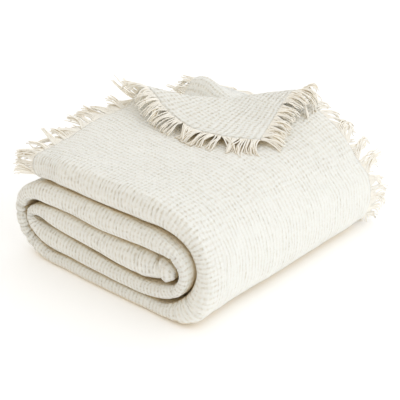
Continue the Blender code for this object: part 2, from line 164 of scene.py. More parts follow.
# %% Material helpers
def linear(colour):
    """The linear RGBA of an sRGB hex colour."""
    parts = np.array([int(colour[i : i + 2], 16) / 255 for i in (1, 3, 5)])
    parts = np.where(parts <= 0.04045, parts / 12.92, ((parts + 0.055) / 1.055) ** 2.4)
    return (*parts.tolist(), 1.0)


def node(tree, kind, inputs=None, out=0, **settings):
    """Adds one node and gives one of its outputs; each input is a value, or the output that feeds it."""
    made = tree.nodes.new(kind)
    for name, value in settings.items():
        setattr(made, name, value)
    for name, value in (inputs or {}).items():
        if isinstance(value, bpy.types.NodeSocket):
            tree.links.new(value, made.inputs[name])
        else:
            made.inputs[name].default_value = value
    return made.outputs[out]


def new_material(name, values):
    """A Principled material with these input values, its node tree and its shader."""
    made = bpy.data.materials.new(name)
    made.use_nodes = True
    shader = made.node_tree.nodes["Principled BSDF"]
    for socket, value in values.items():
        shader.inputs[socket].default_value = value
    return made, made.node_tree, shader


print("sRGB #808080 is", round(linear("#808080")[0], 3), "in linear light")

# %% [markdown]
# ## Floor
#
# The throw lies on a lit sweep of white paper, as in a studio. A plane serves. Its slight glow fills the
# shadow on it, which a second light could do too, but only at the price of flatter cloth. Meshes could be
# made with Blender's operators, but here they all come from arrays, which are faster and can be measured.

# %% The paper floor
FLOOR_HALF = 3  # m
PAPER_GLOW = 0.1


def add_piece(name, points, faces, finish, uv=None):
    """A smooth mesh object at the origin; uv holds one pair for each point."""
    mesh = bpy.data.meshes.new(name)
    mesh.from_pydata(points.reshape(-1, 3), [], faces)
    mesh.materials.append(finish)
    mesh.shade_smooth()
    if uv is not None:
        corners = np.empty(len(mesh.loops), np.int32)
        mesh.loops.foreach_get("vertex_index", corners)
        layer = mesh.uv_layers.new(name="UVMap")
        layer.data.foreach_set("uv", uv.reshape(-1, 2)[corners].astype(np.float32).ravel())
    made = bpy.data.objects.new(name, mesh)
    bpy.context.scene.collection.objects.link(made)
    return made


# Uncoated white paper: it is matt, and a slight painted glow fills the shadow on it, so that this is only
# soft and faint.
floor_finish, tree, shader = new_material("floor_paper", {
    "Base Color": linear("#ffffff"), "Roughness": 0.9,
    "Emission Color": linear("#fcfdff"), "Emission Strength": PAPER_GLOW,
})
corners = FLOOR_HALF * np.array([(-1, -1, 0), (1, -1, 0), (1, 1, 0), (-1, 1, 0)], float)
floor = add_piece("floor", corners, [(0, 1, 2, 3)], floor_finish)
print(f"floor {2 * FLOOR_HALF} m square")

# %% [markdown]
# ## Room and light
#
# The light is a studio's: a white room, and one large soft light high on the right. The room is darker and
# warmer towards the near end, so that the roll's spiral is in soft shade while its top and front stay
# bright. More lights could do that too, but each would add a shadow of its own.

# %% The white room and the key light
ROOM_WHITE, NEAR_WALL = "#fdfeff", "#d1c8ba"
ROOM_STRENGTH = 1.11
WALL_WAY = (-0.3, -0.95, 0.0)  # from the throw towards the darker wall
WALL_FULL = 0.8  # cosine of the angle from that way at which the wall has its full shade
KEY_PLACE, KEY_SIZE, KEY_POWER = (2.0, 0.5, 1.9), 1.6, 5  # m, m, W

world = bpy.data.worlds.new("white_room")
world.use_nodes = True
bpy.context.scene.world = world
tree, sky = world.node_tree, world.node_tree.nodes["Background"]
direction = node(tree, "ShaderNodeTexCoord", out="Generated")
facing = node(tree, "ShaderNodeVectorMath", {0: direction, 1: WALL_WAY}, out="Value", operation="DOT_PRODUCT")
wall = node(tree, "ShaderNodeMapRange", {"Value": facing, "From Max": WALL_FULL})
room = node(
    tree, "ShaderNodeMix", {"Factor": wall, 6: linear(ROOM_WHITE), 7: linear(NEAR_WALL)},
    out=2, data_type="RGBA")
tree.links.new(room, sky.inputs["Color"])
sky.inputs["Strength"].default_value = ROOM_STRENGTH
bpy.context.scene.view_settings.view_transform = "Standard"  # white stays white

lamp = bpy.data.lights.new("key_light", "AREA")
lamp.size, lamp.energy = KEY_SIZE, KEY_POWER
lamp.color = linear("#fffcf6")[:3]
key_light = bpy.data.objects.new("key_light", lamp)
key_light.location = KEY_PLACE
key_light.rotation_euler = (target - Vector(KEY_PLACE)).to_track_quat("-Z", "Y").to_euler()
bpy.context.scene.collection.objects.link(key_light)
print(f"a room of strength {ROOM_STRENGTH}, and a {KEY_POWER} W light {KEY_SIZE} m wide")

# %% [markdown]
# ## The cloth's columns
#
# Every point of the cloth has two numbers: which row it is on along the band, and which column across the
# sheet. From the outermost layer's free edge the columns run to the near end, round it to the innermost
# layer, back round the far end, and round the near end once more, so four layers lie one in another. Each
# layer could be a mesh of its own, but a fold would then show as a seam. Here each column's Y is a weighted
# sum of the same few places of its row, so the whole sheet is one matrix product.

# %% Columns across the sheet
CREASE_ROUND = 0.8  # how far the near end bulges, as a share of the band's half thickness
FAR_CREASE = -7 * MM  # inner far crease, from the roll's far end
FOURTH_EDGE = -5 * MM  # the fourth layer's free edge, from the roll's far end
THIRD = 1 / 3
# Weights of a row's near end, far crease, far end and offset
START, FAR, END = (1, 0, 0, 0), (0, 1, 0, 0), (0, 0, 1, 0)
FINE_CELLS = (156, 20, 6, 6, 6, 6, 36)  # cells of each stretch near the roll's outside
COARSE_STEP = (6, 1, 1, 1, 1, 1, 3)  # of those, one in so many is kept inside the roll


def straight(first, last, share, cells):
    """Columns of one layer between two places, each given as its weights of start, far, end and offset."""
    k = np.linspace(0, 1, cells + 1)[:, None]
    weights = (1 - k) * np.array(first, float) + k * np.array(last, float)
    return np.column_stack([weights, np.full(cells + 1, share)])


def crease(at, middle, reach, height, turn, cells):
    """Columns round a crease, without its ends: y goes by reach * cosine, the share by height * sine."""
    angle = np.radians(np.linspace(90, -90, cells + 1)[1:-1])
    weights = np.tile(np.array(at, float), (cells - 1, 1))
    weights[:, 3] += turn * reach * np.cos(angle)
    return np.column_stack([weights, middle + height * np.sin(angle)])


def columns(first, near, second, far, third, inner, fourth):
    """The table of weights and share for every column, given each stretch's number of cells."""
    return np.concatenate([
        straight(END, START, 1, first),
        crease(START, 0, CREASE_ROUND, 1, -1, near),
        straight(START, FAR, -1, second),
        crease(FAR, -2 * THIRD, THIRD, -THIRD, 1, far),
        straight(FAR, START, -THIRD, third),
        crease(START, 0, THIRD, -THIRD, -1, inner),
        straight(START, (0, 0, 1 + FOURTH_EDGE / (ROLL_LENGTH / 2), 0), THIRD, fourth),
    ])


fine_columns = columns(*FINE_CELLS)
ends = np.cumsum((0, *FINE_CELLS))
kept = np.unique(np.concatenate([
    np.arange(low, high + 1, step) for low, high, step in zip(ends, ends[1:], COARSE_STEP)]))
print(f"{len(fine_columns)} columns outside, {len(kept)} inside")

# %% [markdown]
# ## The cloth's rows
#
# A row is one section of the band: its middle, its normal, how far out its outer layer lies, and where its
# near end and its far crease are. Given those, the table of columns lays all four layers at once. At the
# far right shoulder the side edge is drawn in, as it is on a roll that was pulled tight by one hand.

# %% Rows along the band
TOP_LENGTH = 360 * MM  # of the band's outer end, in which its top pass lies
SIDE_DRAWN = 15 * MM  # how far the side edge is drawn in at the roll's far right shoulder
SHOULDER_X, SHOULDER_X_OVER = -20, 60  # mm: where along X that begins, and over what distance it grows
SHOULDER_Z, SHOULDER_Z_OVER = 75, 35  # mm: and the same in height


def smoothstep(value):
    """0 below 0, 1 above 1, and 3x2 - 2x3 between."""
    value = np.clip(value, 0, 1)
    return value * value * (3 - 2 * value)


class Rows:
    """The band at these path lengths: middle, normal, offset of the outer layer, near and far ends."""

    def __init__(self, path):
        self.path = path
        pick = [np.interp(path, band_path, values) for values in (*curve.T, *band_normal.T)]
        self.middle = np.stack(pick[:2], axis=1)
        self.normal = unit(np.stack(pick[4:], axis=1))
        self.offset = pick[2] / 2 - SOLID_CLOTH / 2
        self.outer = self.middle + self.normal * self.offset[:, None]
        self.start = pick[3] + CREASE_ROUND * self.offset - ROLL_LENGTH / 2
        self.far = ROLL_LENGTH / 2 + FAR_CREASE - self.offset / 3
        shoulder = smoothstep((self.outer[:, 0] / MM - SHOULDER_X) / SHOULDER_X_OVER)
        shoulder = shoulder * smoothstep((self.outer[:, 1] / MM - SHOULDER_Z) / SHOULDER_Z_OVER)
        self.side_drawn = SIDE_DRAWN * shoulder * (path > band_path[-1] - TOP_LENGTH)

    def lay(self, table):
        """Folded cloth: y = weights . (start, far, end, offset); x, z = middle + share * offset * normal."""
        places = np.stack(
            [self.start, self.far, np.full_like(self.start, ROLL_LENGTH / 2), self.offset], axis=1)
        y = places @ table[:, :4].T
        y = y - self.side_drawn[:, None] * np.clip(y / ROLL_LENGTH + 0.5, 0, 1) ** 2
        out = self.offset[:, None] * table[:, 4]
        return np.stack([
            self.middle[:, :1] + out * self.normal[:, :1], y, self.middle[:, 1:] + out * self.normal[:, 1:],
        ], axis=2)


print("offset of the outer layer at the band's ends, mm:", np.round(Rows(band_path[[0, -1]]).offset / MM, 1))

# %% [markdown]
# ## Where the rows go
#
# Cloth pressed round a tight turn puckers into pinches, which need close rows to show. Close rows everywhere
# would cost hundreds of thousands of faces, so they are close only beside a pinch, wider on the rest of the
# roll's outside, and widest inside it, where little is seen.

# %% Rows, close together at each pinch
# Pinches across the near fold, mm: x and z in the band's section, depth, half width, lean, and towards
# which face
PINCHES = [
    (-145, 63, 3.2, 2.4, 0.1, -1), (-145, 54, 3.6, 2.6, -0.1, -1), (-139, 33, 2.8, 2.4, 0.15, -1),
    (-134, 26, 3.8, 2.6, -0.1, -1), (-127, 19, 2.4, 2.4, -0.25, -1), (-126, 62, 1.4, 1.6, 0.0, -1),
    (-126, 54, 1.6, 1.6, 0.1, -1), (84, 61, 3.2, 2.6, 0.35, 1), (89, 61.5, 3.0, 2.0, 0.5, -1),
    (101, 63, 3.2, 1.8, -0.6, -1), (106, 63, 3.0, 1.6, -0.9, -1), (110, 12, 1.6, 2.4, 0.4, -1),
    (119, 16, 2.2, 2.4, 0.25, -1), (128, 21, 2.6, 2.6, 0.1, -1), (136, 28, 2.2, 2.4, -0.1, -1),
    (115, 45, 1.4, 2.0, 0.3, -1), (112, 92, 1.4, 2.2, 0.2, -1), (60, 60, 1.0, 2.4, 0.2, 1),
    (30, 60, 0.9, 2.6, -0.2, 1),
]
OUTER_LENGTH = 0.56  # of the band's outer end, with close rows
OUTER_ROW, INNER_ROW = 4.9 * MM, 9 * MM
PINCH_ROW, PINCH_ROOM = 1.5 * MM, 4.5 * MM  # rows close together within this distance of a pinch
GRAIN = 0.2 * MM  # step in which the rows are counted


def path_at(x, z):
    """Path length where the band passes nearest this place of its section."""
    return band_path[np.argmin(np.hypot(curve[:, 0] - x * MM, curve[:, 1] - z * MM))]


pinch_path = np.array([path_at(x, z) for x, z, *_ in PINCHES])


def row_paths(low, high, spacing):
    """Rows between two path lengths, spaced evenly in the running sum of one over their spacing."""
    fine = np.arange(low, high, GRAIN)
    near = np.min(np.abs(fine[:, None] - pinch_path), axis=1) < PINCH_ROOM
    count = np.cumsum(GRAIN / np.where(near, PINCH_ROW, spacing))
    return np.interp(np.linspace(0, count[-1], max(2, round(count[-1]))), count, fine)


outer_from = band_path[-1] - OUTER_LENGTH
outer_rows = Rows(np.append(row_paths(outer_from, band_path[-1], OUTER_ROW)[:-1], band_path[-1]))
inner_rows = Rows(row_paths(0, outer_from, INNER_ROW)[:-1])
outer = outer_rows.lay(fine_columns)
inner = inner_rows.lay(fine_columns[kept])
across_steps = np.linalg.norm(np.diff(outer[len(outer) // 2], axis=0), axis=1)
width_at = np.concatenate([[0], np.cumsum(across_steps)])
print(f"rows: {len(inner)} inside and {len(outer)} outside; across the cloth {width_at[-1]:.3f} m")

# %% [markdown]
# ## The top's soft humps
#
# A folded throw is no slab: it swells where hands have pushed a fold together. The humps are round bells,
# which blend into the cloth without an edge of their own. They could be sculpted, but a table can be read
# and changed.

# %% Humps, and the top's height
UP_ENOUGH = 0.25  # height of the outward normal past which a row counts as the top
UP_FROM, UP_OVER = 0.1, 0.3  # the same height at which the humps begin, and over which they reach full size
# Soft humps of the first and the fourth layer, mm: x, y, radius in x, radius in y, height
HUMPS = {
    1: [(-125, -30, 40, 80, 8), (64, 150, 42, 45, 10), (-20, -60, 70, 60, 2), (14, 116, 38, 36, 6)],
    4: [(-76, 112, 42, 20, 30)],
}

last_pass = outer_rows.path > outer_rows.path[-1] - TOP_LENGTH
top = last_pass & (outer_rows.normal[:, 1] > UP_ENOUGH)
on_top = smoothstep((outer_rows.normal[:, 1] - UP_FROM) / UP_OVER) * last_pass


def humps(layer, x, y):
    """Sum of round bells: each its height times exp(-(distance in its radii) squared)."""
    return MM * sum(
        high * np.exp(-(((x / MM - cx) / rx) ** 2) - ((y / MM - cy) / ry) ** 2)
        for cx, cy, rx, ry, high in HUMPS[layer])


def top_height(x):
    """Height of the outermost layer's middle on the roll's top at x."""
    surface = outer_rows.outer[top][::-1]
    return np.interp(x, surface[:, 0], surface[:, 1])


print(f"{top.sum()} rows are the top, which is {top_height(0.0) / MM:.1f} mm high at its middle")

# %% [markdown]
# ## The crest that the corner turns round
#
# The outermost layer's far corner is picked up and laid back towards the near end. A cloth simulation could
# drop it there, but not in a place of our choice. Here folding is a map of the flat place: past the crest's
# axis the cloth first follows a half circle, then lies back upside down and settles from the crest's height
# to just above the layer below. The crest is bowed, as a soft fold is.

# %% Turning over
CREST_LEFT, CREST_RIGHT = np.array([-130, 30]) * MM, np.array([54, 153]) * MM
CREST_RADIUS, CREST_BOW = 10 * MM, 20 * MM
CREST_PLUMP, CREST_PLUMP_OVER = 4.5 * MM, 60 * MM  # the crest is rounder at its left end
FLAP_REST, FLAP_SETTLE = 4.6 * MM, 75 * MM  # height at which the flap rests, and the way to get there
SETTLE_POWER = 1.5  # above 1, so that the flap leaves the crest level

along = unit(CREST_RIGHT - CREST_LEFT)
across = np.array([-along[1], along[0]])
crest_start = CREST_LEFT - CREST_RADIUS * across


def crest_bow(run):
    """How far the axis under the crest bows towards the near end, a half sine along its chord."""
    return CREST_BOW * np.sin(np.pi * np.clip(run / np.linalg.norm(CREST_RIGHT - CREST_LEFT), 0, 1))


def past_crest(flat):
    """Distance of a flat place past the axis under the crest."""
    return (flat - crest_start) @ across + crest_bow((flat - crest_start) @ along)


def turn_over(flat):
    """Folded places of flat ones, and their lift above the layer below: a half circle, then a settling."""
    run = (flat - crest_start) @ along
    past = past_crest(flat)
    radius = CREST_RADIUS + CREST_PLUMP * np.exp(-((run / CREST_PLUMP_OVER) ** 2))
    angle = np.clip(past / radius, 0, np.pi)
    beyond = np.maximum(past - np.pi * radius, 0)
    place = np.minimum(past, 0) + radius * np.sin(angle) - beyond - crest_bow(run)
    lying = FLAP_REST + (2 * radius - FLAP_REST) * np.exp(-((beyond / FLAP_SETTLE) ** SETTLE_POWER))
    lift = np.where(beyond > 0, lying, radius * (1 - np.cos(angle)))
    return crest_start + run[..., None] * along + place[..., None] * across, lift


print(f"crest {np.linalg.norm(CREST_RIGHT - CREST_LEFT):.3f} m long, of radius {CREST_RADIUS / MM:.0f} mm")

# %% [markdown]
# ## The corner turned over on top
#
# The corner's edges come first, as they lie before the fold, so that its tip comes down where it should. The
# rows are then leant and bowed between those edges, folded and lifted. They could be moved one by one, but
# the slant would show as steps. The near part of the cloth's end is drawn in, all four layers alike.

# %% Folding the corner
FIRST = FINE_CELLS[0] + 1  # columns of the outermost layer
FLAP_TIP = np.array([79, 36]) * MM
END_BOW, SIDE_BOW = 30 * MM, 8 * MM
LEAN_FROM, LEAN_OVER = 0.40, 0.25  # share of the way to the far edge at which rows lean, and ease into it
BOW_FROM, BOW_POWER = 0.45, 3  # the same share for their bow, and how late along the band it grows
END_DRAWN, END_DRAWN_OVER = 15 * MM, 70 * MM  # how far the end is drawn in, and over what length of the band
DRAWN_FROM, DRAWN_OVER = -130, 190  # mm: where along Y that begins to fade, and over what distance

run, place = (FLAP_TIP - crest_start) @ along, (FLAP_TIP - crest_start) @ across
flat_corner = crest_start + run * along + (np.pi * CREST_RADIUS - place - 2 * crest_bow(run)) * across

drawn = smoothstep(1 - (outer_rows.path[-1] - outer_rows.path) / END_DRAWN_OVER)[:, None]
drawn = END_DRAWN * drawn * (1 - smoothstep((outer[..., 1] / MM - DRAWN_FROM) / DRAWN_OVER))
outer[..., 2] += np.where(top[:, None], top_height(outer[..., 0] + drawn) - top_height(outer[..., 0]), 0)
outer[..., 0] += drawn

turned = np.flatnonzero(top & (outer_rows.outer[:, 0] < CREST_RIGHT[0]))
row_x, row_start = outer_rows.outer[turned, 0][:, None], outer_rows.start[turned][:, None]
reach = (CREST_RIGHT[0] - row_x) / (CREST_RIGHT[0] - outer_rows.outer[-1, 0])
share = np.linspace(1, 0, FIRST)[None, :]
edge_x = CREST_RIGHT[0] + reach * (flat_corner[0] - CREST_RIGHT[0])
edge_y = CREST_RIGHT[1] + reach * (flat_corner[1] - CREST_RIGHT[1]) - SIDE_BOW * np.sin(np.pi * reach)
lean = np.clip((share - LEAN_FROM) / (1 - LEAN_FROM), 0, 1) * smoothstep((share - LEAN_FROM) / LEAN_OVER)
bow = END_BOW * reach**BOW_POWER * np.sin(np.pi * np.clip((share - BOW_FROM) / (1 - BOW_FROM), 0, 1))
flat = np.stack([row_x + (edge_x - row_x) * lean - bow, row_start + (edge_y - row_start) * share], axis=2)
flat[..., 0] += drawn[turned, :FIRST]
folded, lift = turn_over(flat)
outer[turned, :FIRST, :2] = folded
outer[turned, :FIRST, 2] = top_height(folded[..., 0]) + lift
outer[:, :FIRST, 2] += on_top[:, None] * humps(1, outer[:, :FIRST, 0], outer[:, :FIRST, 1])
print(f"corner turned over on {len(turned)} rows; its tip lies at {folded[-1, 0] / MM} mm")

# %% [markdown]
# ## The layer under the corner
#
# Picking up the corner drags the layer under it along: its end is drawn in, and a soft lump stands up behind
# the crest. It could be a piece of its own, but it is the same cloth, so the same columns carry it.

# %% The fourth layer drawn in and raised
FOURTH_PULL, FOURTH_PULLED = 34 * MM, 130 * MM  # how far its end is drawn in, over what length of the band
PULL_FROM, PULL_OVER = 20 * MM, 70 * MM  # where along Y that begins, and over what distance it grows

fourth = outer[:, len(fine_columns) - FINE_CELLS[-1] - 1 :]
near_end = 1 - np.clip((outer_rows.path[-1] - outer_rows.path) / FOURTH_PULLED, 0, 1)[:, None]
pulled = FOURTH_PULL * near_end * smoothstep((fourth[..., 1] - PULL_FROM) / PULL_OVER)
fourth[..., 2] += on_top[:, None] * (top_height(fourth[..., 0] + pulled) - top_height(fourth[..., 0]))
fourth[..., 0] += on_top[:, None] * pulled
fourth[..., 2] += on_top[:, None] * humps(4, fourth[..., 0], fourth[..., 1])
print(f"fourth layer drawn in by up to {pulled.max() / MM:.0f} mm, {fourth[..., 2].max() / MM:.0f} mm high")

# %% [markdown]
# ## Crinkle
#
# Muslin gauze is woven slack and washed, so that it draws up into ribs along its length, a few millimetres
# apart, which wander, fade and run into each other. The ribs that the mesh can carry are in its shape, as a
# sine across the cloth whose phase and height wander with smooth noise. A displacement map would look the
# same, but would not reach the exported shape.

# %% Relief of the cloth
RIB, RIB_HEIGHT = 6.4 * MM, 0.26 * MM  # spacing and height of the ribs that the mesh carries
ROOM = 4 * MM  # space between two layers at which the crinkle has its full height
PRESSED = 0.2  # share of that height which is left where layers are pressed together
# Noises: size, length across the cloth and along it (both m), seed
RIB_WANDER = [(2.6, 0.030, 0.060, 1), (1.4, 0.011, 0.022, 2)]  # size in radians
RIB_MEAN, RIB_SWELL = 0.6, [(0.4, 0.024, 0.035, 3)]
UNEVEN = [(1.1 * MM, 0.045, 0.060, 4), (0.6 * MM, 0.016, 0.024, 5)]


def noise(x, y, seed):
    """Value noise: seeded numbers from -1 to 1 on a unit lattice, blended by smoothstep between them."""
    table = np.random.default_rng(seed).uniform(-1, 1, (256, 256))
    ix, iy = np.floor(x).astype(int), np.floor(y).astype(int)
    fx, fy = smoothstep(x - ix), smoothstep(y - iy)
    corner = [[table[(ix + i) % 256, (iy + j) % 256] for j in (0, 1)] for i in (0, 1)]
    low = corner[0][0] * (1 - fx) + corner[1][0] * fx
    high = corner[0][1] * (1 - fx) + corner[1][1] * fx
    return low * (1 - fy) + high * fy


def noises(u, v, table):
    """Sum of a table's noises at cloth places u, v, each times its size."""
    return sum(size * noise(u / wide, v / long, seed) for size, wide, long, seed in table)


def relief(u, v, gap):
    """Height of the crinkle at u, v: a wandering sine across u and soft unevenness, less where tight."""
    strength = RIB_MEAN + noises(u, v, RIB_SWELL)
    ribs = RIB_HEIGHT * strength * np.sin(2 * np.pi * u / RIB + noises(u, v, RIB_WANDER))
    return (ribs + noises(u, v, UNEVEN)) * np.clip(gap / ROOM, PRESSED, 1)


outer_u, outer_v = np.broadcast_arrays(width_at[None, :], outer_rows.path[:, None])
inner_u, inner_v = np.broadcast_arrays(width_at[kept][None, :], inner_rows.path[:, None])
outer_relief = relief(outer_u, outer_v, (2 * THIRD * outer_rows.offset - CLOTH)[:, None])
inner_relief = relief(inner_u, inner_v, (2 * THIRD * inner_rows.offset - CLOTH)[:, None])
print(f"crinkle from {outer_relief.min() / MM:.2f} to {outer_relief.max() / MM:.2f} mm")

# %% [markdown]
# ## Pinches and creases
#
# Where the band turns, the face on the inside of the turn has too much cloth, which puckers into short
# pinches. A few long creases run down the front from earlier folding. Noise could make some anywhere, but
# the eye looks for them at the turns, so a table puts them there, each as a trough with a bell across it.

# %% Troughs in the cloth
PINCH_REACH = 26 * MM  # how far a pinch runs from the face it starts at, along the near fold
FACE_AT = 12  # mm from the near fold's middle to that face
# Thin creases down the cloth, mm: x and z of the path's place where each begins and ends, its distance from
# the near fold's middle there, depth and half width
CREASES = [
    ((144, 100), (138, 30), -34, -44, 1.3, 1.8), ((144, 70), (132, 24), -66, -74, 0.7, 2.2),
    ((100, 122), (142, 84), -52, -47, 0.7, 2.4),
]
CREASE_EVEN = 0.7  # power of the half sine along a crease; below 1, so that most of it is of even depth
fold_middle = width_at[ends[1] + FINE_CELLS[1] // 2]


def pinches(u, v):
    """Depth of the pinches at u, v: a bell across, slanting by its lean, times a bell along from its face."""
    depth = np.zeros_like(u)
    for (_, _, deep, half_width, lean, face), path in zip(PINCHES, pinch_path):
        along_fold = u - fold_middle + face * FACE_AT * MM
        off = (v - path - lean * along_fold) / (half_width * MM)
        depth += deep * MM * np.exp(-(off**2) - (along_fold / PINCH_REACH) ** 2)
    return depth


def creases(u, v):
    """Depth of the long creases: troughs with a bell across, that swell and fade along as a half sine."""
    depth = np.zeros_like(u)
    for begins, finishes, first, last, deep, half_width in CREASES:
        start, finish = path_at(*begins), path_at(*finishes)
        share = np.clip((v - start) / (finish - start), 0, 1)
        off = (u - fold_middle - (first + (last - first) * share) * MM) / (half_width * MM)
        depth += deep * MM * np.exp(-(off**2)) * np.sin(np.pi * share) ** CREASE_EVEN
    return depth


deep_pinches, deep_creases = pinches(outer_u, outer_v), creases(outer_u, outer_v)
print(f"pinches {deep_pinches.max() / MM:.1f} mm deep, creases {deep_creases.max() / MM:.1f} mm")

# %% [markdown]
# ## The relief laid on
#
# The relief is laid on along the cloth's own normals, so that it stands out on every side of the roll. A
# Displace modifier could do it, but would have to be told the same heights. Nothing goes below the floor.


# %% Cloth with its relief
def normals(grid):
    """Unit normals of a grid: the cross product of its two directions, outwards on the outer layer."""
    return unit(np.cross(np.gradient(grid, axis=0), np.gradient(grid, axis=1)))


outer_relief = outer_relief - deep_pinches - deep_creases
inner_relief = inner_relief - pinches(inner_u, inner_v)
outer = outer + normals(outer) * outer_relief[..., None]
inner = inner + normals(inner) * inner_relief[..., None]
outer[..., 2] = np.maximum(outer[..., 2], CLOTH / 2)
inner[..., 2] = np.maximum(inner[..., 2], CLOTH / 2)
print(f"the cloth now reaches {outer[..., 2].max() / MM:.1f} mm high")

# %% [markdown]
# ## One sheet
#
# The real cloth is one sheet, so the coarse grid inside and the fine one outside become one mesh. Where they
# meet they could overlap, but each coarse cell gets one face with all the fine points along its edge
# instead, which leaves no gap. The UV map is the flat sheet in metres, so the weave follows every fold.

# %% One mesh of both blocks
into_frame = np.array([*shift, 0.0])
points = np.concatenate([inner.reshape(-1, 3), outer.reshape(-1, 3)]) + into_frame
uv = np.concatenate([
    np.stack([inner_u, inner_v], axis=2).reshape(-1, 2), np.stack([outer_u, outer_v], axis=2).reshape(-1, 2)])


def grid_faces(rows, width, first=0):
    """Quads of a grid of points, as an array of four indices each."""
    a = (np.arange(rows - 1)[:, None] * width + np.arange(width - 1)).ravel() + first
    return np.stack([a, a + 1, a + width + 1, a + width], axis=1)


joint = len(inner) * len(kept)
last_inner = joint - len(kept)
fans = [
    (last_inner + i, last_inner + i + 1, *range(joint + high, joint + low - 1, -1))
    for i, (low, high) in enumerate(zip(kept, kept[1:]))
]
faces = grid_faces(len(inner), len(kept)).tolist() + fans
faces += grid_faces(len(outer), len(fine_columns), joint).tolist()
print(f"cloth: {len(points)} points, {len(faces)} faces")

# %% [markdown]
# ## How slack the cloth lies
#
# Washed muslin shows its lattice most where it lies slack, on top and in the turned corner, and least where
# it is drawn round the front. Two numbers at each point carry that into the finish: how near it is to a
# fold's round edge, and how slack it lies. They could be painted by hand, but the shape knows them already.

# %% The cloth and its attributes
NEAR_ROUND, INNER_ROUND = 28 * MM, 34 * MM  # half widths of the round edges at the two near folds
TIGHT = 0.6  # slackness where the cloth is drawn round the outside
TOP_SLACK, ROUND_SLACK, CORNER_SLACK = 0.4, 0.45, 0.5  # added on top, round a fold, and in the turned corner
SLACK_FROM, SLACK_OVER = 0.3, 0.6  # height of the outward normal: where the top's begins, and over what
MOST_SLACK = 1.15  # inside the roll, and the most outside it, but for the turned corner
# Cotton muslin, woven slack and washed: it is matt and soft, with a faint sheen from its loose fibres, and a
# little light goes through it.
muslin, tree, shader = new_material("crinkled_cotton_muslin", {
    "Roughness": 0.9, "Sheen Weight": 0.15,
    "Subsurface Weight": 0.25, "Subsurface Radius": (1.0, 0.95, 0.9), "Subsurface Scale": 4 * MM,
})
cloth = add_piece("muslin_cloth", points, faces, muslin, uv)
inner_fold = width_at[ends[5] + FINE_CELLS[5] // 2]
near_fold = np.exp(-(((uv[:, 0] - fold_middle) / NEAR_ROUND) ** 2))
near_fold += np.exp(-(((uv[:, 0] - inner_fold) / INNER_ROUND) ** 2))
outer_slack = TIGHT + TOP_SLACK * smoothstep((outer_rows.normal[:, 1:] - SLACK_FROM) / SLACK_OVER)
outer_slack = outer_slack + ROUND_SLACK * near_fold[joint:].reshape(outer.shape[:2])
outer_slack = np.minimum(outer_slack, MOST_SLACK)
outer_slack[turned, :FIRST] += CORNER_SLACK * smoothstep(past_crest(flat) / (np.pi * CREST_RADIUS))
slack_at = np.concatenate([np.full(joint, MOST_SLACK), outer_slack.ravel()])
for name, values in (("near_fold", near_fold), ("slack", slack_at)):
    cloth.data.attributes.new(name, "FLOAT", "POINT").data.foreach_set("value", values.astype(np.float32))
thickness = cloth.modifiers.new("Thickness", "SOLIDIFY")
thickness.thickness = CLOTH
thickness.offset = 0
print(f"slackness from {slack_at.min():.2f} to {slack_at.max():.2f}")

# %% [markdown]
# ## Muslin: the lattice
#
# Close up, washed double gauze is a lattice of soft puffs between pulled threads, about 5.5 mm apart and
# never quite regular. Bands of a sine, bent by noise, cross each other to make its pits and its lines. Cells
# from a Voronoi pattern would be easier, but have no direction, and this has two. Where the cloth is tight
# only the lines that run round the roll show, and on a fold's edge only those that run over it.

# %% Bands and speckles
FINE_RIB, CROSS_RIB = 5.6 * MM, 5.4 * MM  # spacing of the ribs along the cloth and of those across it
WAVE_UNIT = 2 * np.pi / 20  # spacing of Blender's wave bands at scale 1
NOISE_MIDDLE = {"From Min": 0.35, "From Max": 0.65}  # the part of its range where most of a noise lies
MATH, RANGE, MIX = "ShaderNodeMath", "ShaderNodeMapRange", "ShaderNodeMix"
where = node(tree, "ShaderNodeUVMap", uv_map="UVMap")


def crossed_bands(spacings, wander, details):
    """Two crossing sets of sine bands from 0 to 1, bent by noise: a set across u, and a set across v."""
    return [
        node(
            tree, "ShaderNodeTexWave",
            {"Vector": where, "Scale": WAVE_UNIT / spacing, "Distortion": wander, "Detail": 2.0,
             "Detail Scale": detail}, out="Fac", bands_direction=direction)
        for direction, spacing, detail in zip("XY", spacings, details)]


def speckle(size_u, size_v, low, high):
    """Noise stretched to a size in each direction of the cloth, its middle range laid on low to high."""
    stretched = node(tree, "ShaderNodeMapping", {"Vector": where, "Scale": (1 / size_u, 1 / size_v, 1)})
    spots = node(tree, "ShaderNodeTexNoise", {"Vector": stretched, "Scale": 1.0, "Detail": 2.0}, out="Fac")
    return node(tree, RANGE, {"Value": spots, **NOISE_MIDDLE, "To Min": low, "To Max": high})


print(f"ribs {FINE_RIB / MM:.1f} mm apart are bands of scale {WAVE_UNIT / FINE_RIB:.1f}")

# %% [markdown]
# ## Muslin: pits and lines
#
# A pit lies where two gaps between ribs cross, and a line is a gap by itself. They could be one pattern, but
# apart they can follow how slack the cloth lies: pits fade as it tightens, and lines change their direction.

# %% Pits and lines
WANDER = 5.0  # how far the ribs are bent by noise
DETAILS = (0.45, 0.5)  # how fine that noise is for each set of ribs, so that they wander differently
